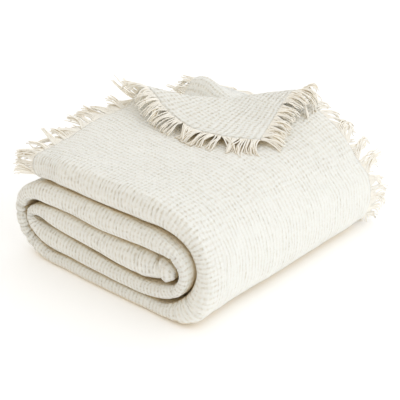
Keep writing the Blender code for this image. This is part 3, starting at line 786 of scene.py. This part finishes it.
# Speckles: size across the cloth and along it, and the values that they range over
RIB_DASHES, CROSS_DASHES = (3 * MM, 14 * MM, 0.3, 1.2), (6 * MM, 3 * MM, 0.15, 1.15)
PIT_POWER, LINE_POWER = 1.3, 2.0  # above 1, so that pits and lines are narrower than the puffs
PIT_DEPTH, PIT_LOST = 0.8, 0.7  # depth of the pits, and what tight cloth takes from it
LINE_DEPTH = 0.62
round_folds = node(tree, "ShaderNodeAttribute", out="Fac", attribute_name="near_fold")
slack = node(tree, "ShaderNodeAttribute", out="Fac", attribute_name="slack")
tight = node(
    tree, RANGE,
    {"Value": slack, "From Min": TIGHT, "From Max": TIGHT + TOP_SLACK, "To Min": 1.0, "To Max": 0.6})
ribs, cross_ribs = crossed_bands((FINE_RIB, CROSS_RIB), WANDER, DETAILS)
rib_gap = node(tree, MATH, {0: 1.0, 1: ribs}, operation="SUBTRACT")
cross_gap = node(tree, MATH, {0: 1.0, 1: cross_ribs}, operation="SUBTRACT")
pits = node(tree, MATH, {0: rib_gap, 1: cross_gap}, operation="MULTIPLY")
pits = node(tree, MATH, {0: pits, 1: PIT_POWER}, operation="POWER")
# Each set of lines is broken into dashes by speckles that are long in the lines' own direction.
rib_lines = node(tree, MATH, {0: rib_gap, 1: LINE_POWER}, operation="POWER")
rib_lines = node(tree, MATH, {0: rib_lines, 1: speckle(*RIB_DASHES)}, operation="MULTIPLY")
cross_lines = node(tree, MATH, {0: cross_gap, 1: LINE_POWER}, operation="POWER")
cross_lines = node(tree, MATH, {0: cross_lines, 1: speckle(*CROSS_DASHES)}, operation="MULTIPLY")
lines = node(tree, MIX, {"Factor": tight, 2: cross_lines, 3: rib_lines}, data_type="FLOAT")
lines = node(tree, MIX, {"Factor": round_folds, 2: lines, 3: cross_lines}, data_type="FLOAT")
lines = node(tree, MATH, {0: lines, 1: LINE_DEPTH}, operation="MULTIPLY")
pit_share = node(tree, MATH, {0: tight, 1: -PIT_LOST, 2: PIT_DEPTH}, operation="MULTIPLY_ADD")
lattice = node(tree, MATH, {0: pits, 1: pit_share, 2: lines}, operation="MULTIPLY_ADD")
print(f"a lattice of {FINE_RIB / MM:.1f} by {CROSS_RIB / MM:.1f} mm, in {len(tree.nodes)} nodes")

# %% [markdown]
# ## Muslin: bump, tone and painted shade
#
# The lattice is nowhere even: it comes in patches, its pits differ, and short folds run over it. All that
# goes into the bump and into the colour alike: the hollows get a painted shade, slightly warm, as of light
# bouncing from yarn to yarn. The deep gaps between layers, which the occlusion finds, get a warmer painted
# shade. The threads could be modelled, but there are thousands across the sheet each way.

# %% The finished muslin
# Speckles: size across the cloth and along it, and the values that they range over
PATCHES, UNLIKE_PITS = (30 * MM, 40 * MM, 0.85, 1.1), (2.4 * MM, 3.0 * MM, 0.35, 1.2)
FOLDS_ALONG, FOLDS_ACROSS = (1.5 * MM, 7 * MM, -0.5, 0.5), (7 * MM, 1.5 * MM, -0.5, 0.5)
SHORT_FOLDS = 0.18  # depth of the short folds, next to the lattice's
SLACK_DEPTH, LEAST_DEPTH = 0.6, 0.4  # depth added with slackness, and depth where there is none
THREAD = 1.2 * MM  # spacing of the drawn threads; the real ones, half as far apart, would be too fine to show
THREAD_WANDER, THREAD_DEPTH = 1.0, 0.06
HOLLOW = 1.4 * MM  # a hollow's full depth in the bump
FULL_TONE = 0.8  # share of that depth from which a hollow has its full tone
GAP_REACH = 20 * MM  # distance within which other cloth makes a gap
GAP_FULL, GAP_ENDS = 0.05, 0.5  # openness at which a gap has its full tone, and at which it has none
# The second and third colours are painted shade: one in the lattice's hollows, one warmer in the gaps between
# layers.
PUFF_TONE, PAINTED_HOLLOW_SHADE, PAINTED_GAP_SHADE = "#f5f5ef", "#e7e1d2", "#dec48c"

hollow = node(tree, MATH, {0: lattice, 1: speckle(*PATCHES)}, operation="MULTIPLY")
hollow = node(tree, MATH, {0: hollow, 1: speckle(*UNLIKE_PITS)}, operation="MULTIPLY")
short_folds = node(tree, MATH, {0: speckle(*FOLDS_ALONG), 1: speckle(*FOLDS_ACROSS)}, operation="ADD")
hollow = node(tree, MATH, {0: short_folds, 1: SHORT_FOLDS, 2: hollow}, operation="MULTIPLY_ADD")
depth = node(tree, MATH, {0: slack, 1: SLACK_DEPTH, 2: LEAST_DEPTH}, operation="MULTIPLY_ADD")
hollow = node(tree, MATH, {0: hollow, 1: depth}, operation="MULTIPLY")
warp, weft = crossed_bands((THREAD, THREAD), THREAD_WANDER, (DETAILS[0], DETAILS[0]))
threads = node(tree, MATH, {0: warp, 1: weft}, operation="ADD")
threads = node(tree, MATH, {0: threads, 1: THREAD_DEPTH}, operation="MULTIPLY")
height = node(tree, MATH, {0: hollow, 1: -1.0, 2: threads}, operation="MULTIPLY_ADD")
bump = node(tree, "ShaderNodeBump", {"Height": height, "Strength": 1.0, "Distance": HOLLOW})
tree.links.new(bump, shader.inputs["Normal"])

# Painted shade: the colour darkens from the puffs' to the hollows' as a hollow deepens.
shadow = node(tree, RANGE, {"Value": hollow, "From Max": FULL_TONE})
tone = node(
    tree, MIX, {"Factor": shadow, 6: linear(PUFF_TONE), 7: linear(PAINTED_HOLLOW_SHADE)}, out=2, data_type="RGBA")
# Painted shade: where the occlusion finds other cloth close by, the colour turns darker and warmer still.
openness = node(tree, "ShaderNodeAmbientOcclusion", {"Distance": GAP_REACH}, out="AO", samples=6)
gap = node(
    tree, RANGE,
    {"Value": openness, "From Min": GAP_FULL, "From Max": GAP_ENDS, "To Min": 1.0, "To Max": 0.0})
tone = node(tree, MIX, {"Factor": gap, 6: tone, 7: linear(PAINTED_GAP_SHADE)}, out=2, data_type="RGBA")
tree.links.new(tone, shader.inputs["Base Color"])
print(f"muslin of {len(tree.nodes)} nodes, threads {THREAD / MM:.1f} mm apart, {HOLLOW / MM:.1f} mm deep")

# %% [markdown]
# ## Fringe: places along an edge
#
# The fringe is the sheet's own yarns left free past its edge, where they gather into thin locks. They leave
# it at even distances along the edge, however it is folded. The mesh's own points could be their roots, but
# those are not evenly spaced, so places are read off along the edge by its length.

# %% Reading places off a rim
FRINGE = 37 * MM


def rim_path(rim):
    """Path length at each of the rim's points."""
    return np.concatenate([[0], np.cumsum(np.linalg.norm(np.diff(rim, axis=0), axis=1))])


def read_off(places, path, vectors):
    """The vectors at these path lengths, blended straight from one to the next."""
    return np.stack([np.interp(places, path, vectors[:, axis]) for axis in range(3)], axis=1)


def spread(rim, outward, places):
    """Points, outward and rim directions at these path lengths along a rim."""
    path = rim_path(rim)
    side = unit(read_off(places + 2 * MM, path, rim) - read_off(places - 2 * MM, path, rim))
    out = read_off(places, path, outward)
    return read_off(places, path, rim), unit(out - np.sum(out * side, axis=1)[:, None] * side), side


print(f"fringe {FRINGE / MM:.0f} mm long, on an end edge of {rim_path(outer[-1])[-1]:.3f} m")

# %% [markdown]
# ## Fringe: the paths of its yarns
#
# Hair particles could make the yarns, but would not lie down on the cloth. So each yarn is a tube along a
# path of its own: it leaves the edge in the cloth's direction, bends down, sways, and closes up to its lock.
# A trial on a short straight rim shows how far such yarns reach.

# %% Yarns from a rim
YARN = 0.9 * MM  # radius of one yarn; the real ones, thinner and more, would be too fine to show
SIDES, STEPS = 6, 10
# Spreads of random draws, from lock to lock and from yarn to yarn; the first two in degrees
LEAVE_SPREAD, HANG_SPREAD = (5, 3), (14, 7)
SHIFT_SPREAD, LENGTH_SPREAD, WAVE_SPREAD = (0.4, 0.1), (0.05, 0.03), (0.3, 0.3)
FAN_YARN, CURL_YARN = 3, 6  # degrees from yarn to yarn; those from lock to lock are in each fringe's look
LIFT_SPREAD = 0.45 * MM
MEAN_LENGTH = 0.93  # of the fringe's length
BEND_POWER = 1.3  # above 1, so that a yarn bends down late
CURLS, WAVES, WAVE_SIZE = 1.4, 2.5, 0.3 * MM  # half turns of sway along a yarn, its waves and their height
ROOT_DEPTH = 1.5 * MM  # how deep a yarn starts in the cloth
CLOSED_AT, TAPER = 0.7, 0.35  # share of its length at which a lock has closed, and of radius lost at the tip


def yarns(
    rim, outward, floor_at, seed, spacing=8, strands=5, length=1.0, leave=5, hang=55, fan=12, tip=0.5,
    curl=16, loose=1.0,
):
    """Tubes carried along curved paths, several to a lock.

    A yarn's heading turns from leave to hang degrees below its outward direction, and sways to the sides by
    about fan degrees; its path is the running sum of its headings. A lock's yarns close up to a share tip of
    the rim that they leave. They come to rest where floor_at(x, y) says.
    """
    draw = np.random.default_rng(seed)
    total = rim_path(rim)[-1]
    locks = max(2, round(total / (spacing * MM)))
    lock = np.repeat(np.arange(locks), strands)
    slot = np.tile((np.arange(strands) + 0.5) / strands - 0.5, locks)
    at, out, side = spread(rim, outward, (lock + 0.5 + slot) * total / locks)

    def chance(by_lock, by_yarn):
        """A normal draw for each lock plus one for each yarn, as a column."""
        return (draw.normal(0, by_lock, locks)[lock] + loose * draw.normal(0, by_yarn, len(lock)))[:, None]

    t = ((np.arange(STEPS) + 0.5) / STEPS)[None, :]
    down = leave + chance(*LEAVE_SPREAD) + (hang - leave + chance(*HANG_SPREAD)) * t**BEND_POWER
    down = np.radians(down)[..., None]
    sway = chance(fan, FAN_YARN)
    sway = sway + chance(curl, CURL_YARN) * np.sin(np.pi * (CURLS * t + chance(*SHIFT_SPREAD)))
    sway = np.radians(sway)[..., None]
    heading = np.cos(down) * out[:, None] - np.sin(down) * np.array([0, 0, 1.0])
    heading = np.cos(sway) * heading + np.sin(sway) * side[:, None]
    reach = FRINGE * length * (MEAN_LENGTH + chance(*LENGTH_SPREAD))[..., None]
    start = (at - ROOT_DEPTH * out)[:, None]
    path = np.concatenate([start, start + np.cumsum(heading, axis=1) * reach / STEPS], axis=1)
    t = np.linspace(0, 1, STEPS + 1)[None, :, None]
    close = -slot[:, None, None] * total / locks * (1 - tip) * smoothstep(t / CLOSED_AT)
    wave = WAVE_SIZE * np.sin(2 * np.pi * (WAVES * t + chance(*WAVE_SPREAD)[..., None])) * t
    above = chance(0, LIFT_SPREAD)[..., None] * smoothstep(t * 2)
    up = unit(np.cross(side, out))
    up *= np.sign(up[:, 2:3] + 1e-9)  # the side of the rim that faces up
    path = path + (close + wave) * side[:, None] + above * up[:, None]
    lowest = floor_at(path[..., 0], path[..., 1]) + YARN + np.abs(above[..., 0])
    path[..., 2] = np.maximum(path[..., 2], lowest)
    along_path = unit(np.gradient(path, axis=1))
    across_path = unit(np.cross(along_path, np.broadcast_to(up[:, None], path.shape)))
    third = np.cross(across_path, along_path)
    angle = (2 * np.pi * np.arange(SIDES) / SIDES)[None, None, :, None]
    radius = (YARN * (1 - TAPER * t**3))[..., None]
    ring = np.cos(angle) * across_path[:, :, None] + np.sin(angle) * third[:, :, None]
    return path[:, :, None] + radius * ring


def on_floor(x, y):
    """The floor's height, everywhere 0."""
    return np.zeros_like(x)


trial_rim, trial_out = np.array([(0, 0, 100), (100, 0, 100)]) * MM, np.array([(0, -1.0, 0), (0, -1.0, 0)])
trial = yarns(trial_rim, trial_out, on_floor, 1)
print(f"{len(trial)} yarns off 100 mm of rim reach {-trial[..., 1].min() / MM:.0f} mm out")

# %% [markdown]
# ## Fringe: the skin of its yarns
#
# Each yarn is a tube of a few sides, closed at its ends. A curve object with a bevel would give the same, but
# hundreds of them are quicker as one mesh, whose faces follow one rule for them all.


# %% Faces of the tubes
def tube_faces(count):
    """Quads round each tube and a cap at each end."""
    ring, tube = SIDES, SIDES * (STEPS + 1)
    i = np.arange(count)[:, None, None] * tube
    j = np.arange(STEPS)[None, :, None] * ring
    k = np.arange(SIDES)[None, None, :]
    a, b = i + j + k, i + j + (k + 1) % SIDES
    quads = np.stack([a, a + ring, b + ring, b], axis=-1).reshape(-1, 4).tolist()
    starts = (np.arange(count)[:, None] * tube + np.arange(SIDES)).tolist()
    tips = (np.arange(count)[:, None] * tube + STEPS * ring + np.arange(SIDES)[::-1]).tolist()
    return quads + starts + tips


print(f"one yarn is a tube of {len(tube_faces(1))} faces, {2 * YARN / MM:.1f} mm thick")

# %% [markdown]
# ## Fringe: the finish of its yarns
#
# Loose cotton yarn is as matt as the cloth, but a little creamier, because it is thicker and light goes
# deeper into it. A twist could be drawn on it, but is too fine to show. What tells one yarn from the next is
# a warm painted shade in the gaps between them, where the occlusion finds other yarns.

# %% Cotton yarn
LOCK_REACH = 7 * MM  # distance within which other yarns make a gap
LOCK_FULL, LOCK_ENDS = 0.05, 0.4  # openness at which that gap has its full tone, and at which it has none
# The second colour is a warm painted shade for where yarns lie close together.
YARN_TONE, PAINTED_LOCK_SHADE = "#fdf9ef", "#dcc692"
# Cotton yarn, spun and left loose: it is matt and creamy, with a warm painted shade in the gaps from yarn to
# yarn.
fringe_yarn, tree, shader = new_material("loose_cotton_yarn", {
    "Roughness": 0.9,
    "Subsurface Weight": 0.2, "Subsurface Radius": (1.0, 0.95, 0.9), "Subsurface Scale": 4 * MM,
})
# Painted shade: where the occlusion finds other yarns close by, the colour turns darker and warmer.
openness = node(tree, "ShaderNodeAmbientOcclusion", {"Distance": LOCK_REACH}, out="AO", samples=6)
gap = node(
    tree, RANGE,
    {"Value": openness, "From Min": LOCK_FULL, "From Max": LOCK_ENDS, "To Min": 1.0, "To Max": 0.0})
tone = node(tree, MIX, {"Factor": gap, 6: linear(YARN_TONE), 7: linear(PAINTED_LOCK_SHADE)}, out=2, data_type="RGBA")
tree.links.new(tone, shader.inputs["Base Color"])
print(f"yarn of {len(tree.nodes)} nodes")

# %% [markdown]
# ## Fringe: the rims that it grows from
#
# The throw is fringed along its end and both its sides. In the roll those edges lie folded, so each is cut
# into stretches: over the turned corner, round its crest, down the outside, and on between the layers. One
# rule for all would be shorter, but yarns over the corner rest on the throw, and the others hang free.

# %% Rims, and what lies under them
ROUND_CREST = 0.6  # of the half circle round the crest, past which the yarns belong to the flap
CORNER_AT = 0.6  # of the fourth layer's columns, past which the yarns belong to its corner


def on_throw(x, y):
    """Height of the throw's top at a place."""
    return top_height(x - shift[0]) + humps(1, x - shift[0], y - shift[1]) + CLOTH / 2


end_rim = outer[-1] + into_frame
end_out = unit(outer[-1] - outer[-3])
past_end = past_crest(flat[-1])
flap = np.flatnonzero(past_end > ROUND_CREST * np.pi * CREST_RADIUS)[-1]
crest = np.flatnonzero(past_end > 0)[-1]
near = ends[1] + FINE_CELLS[1] // 2
corner_4 = ends[6] + round(CORNER_AT * FINE_CELLS[-1])
side_1 = np.concatenate([inner[:, 0], outer[:, 0]]) + into_frame
side_1_out = np.concatenate([unit(inner[:, 0] - inner[:, 1]), unit(outer[:, 0] - outer[:, 2])])
side_4 = np.concatenate([inner[:, -1], outer[:, -1]]) + into_frame
side_4_out = np.concatenate([unit(inner[:, -1] - inner[:, -2]), unit(outer[:, -1] - outer[:, -2])])
begin = len(inner)
past_side = past_crest(flat[:, 0]) / (np.pi * CREST_RADIUS)
off_crest = begin + turned[np.searchsorted(past_side, 1.0)]
print("end edge, side edges, m:", [round(rim_path(rim)[-1], 3) for rim in (end_rim, side_1, side_4)])

# %% [markdown]
# ## Fringe: the end edge
#
# This is the fringe that shows most: it falls forward over the turned corner, and stands off the cloth's end
# on the left. Combed straight and even it would look like a brush, so each stretch has a look of its own:
# how close its locks are, how long, how far they droop, and how loosely they curl.

# %% Fringes of the end edge
ON_FLAP = dict(spacing=8, strands=5, length=0.88, leave=-10, hang=60, fan=12, tip=0.75, curl=20, loose=1.0)
OFF_CREST = dict(spacing=5.5, strands=5, length=1.22, leave=14, hang=4, fan=9, tip=0.5, loose=0.8)
OFF_END = dict(strands=7, length=1.05, leave=-25, hang=15, fan=12, tip=0.7, loose=0.7)
INSIDE_END = dict(spacing=9, strands=5, length=1.12, leave=-20, hang=20)
OFF_CORNER = dict(length=0.75, leave=0, hang=20, curl=8)
# Name, first and last column of the stretch, what lies under it, seed, look
END_FRINGES = [
    ("fringe_flap_end", (0, flap), on_throw, 11, ON_FLAP),
    ("fringe_crest_end", (flap, crest), on_floor, 12, OFF_CREST),
    ("fringe_end_1", (crest, near), on_floor, 13, OFF_END),
    ("fringe_end_2", (near, ends[3]), on_floor, 14, INSIDE_END),
    ("fringe_end_3", (ends[4], ends[5]), on_floor, 15, INSIDE_END),
    ("fringe_end_4", (ends[6], corner_4), on_floor, 16, INSIDE_END),
    ("fringe_corner_4", (corner_4, ends[7]), on_floor, 17, OFF_CORNER),
]


def add_fringe(name, stretches, seed):
    """One fringe in place of its plain node, from stretches of rim, outward directions, floor and look."""
    rings = np.concatenate([
        yarns(rim, outward, floor_at, seed + 100 * i, **look)
        for i, (rim, outward, floor_at, look) in enumerate(stretches)])
    made = add_piece(f"{name}_yarns", rings, tube_faces(len(rings)), fringe_yarn)
    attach(made, "root")
    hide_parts(name)
    print(f"{name}: {len(rings)} yarns")


for name, (low, high), floor_at, seed, look in END_FRINGES:
    add_fringe(name, [(end_rim[low : high + 1], end_out[low : high + 1], floor_at, look)], seed)

# %% [markdown]
# ## Fringe: the side edges
#
# The two side edges lie together at the roll's far end and wind inwards with it. Only the outermost stretch
# shows from the front, as a ruff past the far right shoulder. The rest could be left out, but would be
# missed from behind, so it has fewer and wider locks.

# %% Fringes of the side edges
BESIDE_FLAP = dict(spacing=7, strands=6, length=0.8, leave=-14, hang=40, fan=10, tip=1.0, curl=16, loose=1.6)
CREST_BUNCH = dict(spacing=3, strands=5, length=1.3, leave=5, hang=90, fan=16, tip=0.7, curl=20, loose=0.8)
OFF_SIDE = dict(spacing=8.5, strands=6, length=1.05, leave=-14, hang=40, fan=14, tip=0.5, loose=0.8)
HIDDEN_SIDE = dict(spacing=10, strands=4)
# Name, rim, outward directions, seed, and stretches: first row, row after the last, what lies under it, look
SIDE_FRINGES = [
    ("fringe_flap_side", side_1, side_1_out, 21,
     [(begin + turned[0], off_crest + 1, on_floor, CREST_BUNCH),
      (off_crest, len(side_1), on_throw, BESIDE_FLAP)]),
    ("fringe_side_1", side_1, side_1_out, 22, [(begin, begin + turned[0] + 1, on_floor, OFF_SIDE)]),
    ("fringe_side_1_inner", side_1, side_1_out, 23, [(0, begin, on_floor, HIDDEN_SIDE)]),
    ("fringe_side_4", side_4, side_4_out, 24, [(0, len(side_4), on_floor, HIDDEN_SIDE)]),
]
for name, rim, outward, seed, stretches in SIDE_FRINGES:
    add_fringe(name, [(rim[low:high], outward[low:high], *rest) for low, high, *rest in stretches], seed)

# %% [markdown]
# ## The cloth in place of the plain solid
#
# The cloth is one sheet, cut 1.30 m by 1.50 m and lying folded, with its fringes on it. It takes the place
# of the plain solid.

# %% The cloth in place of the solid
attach(cloth, "root")
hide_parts("throw")
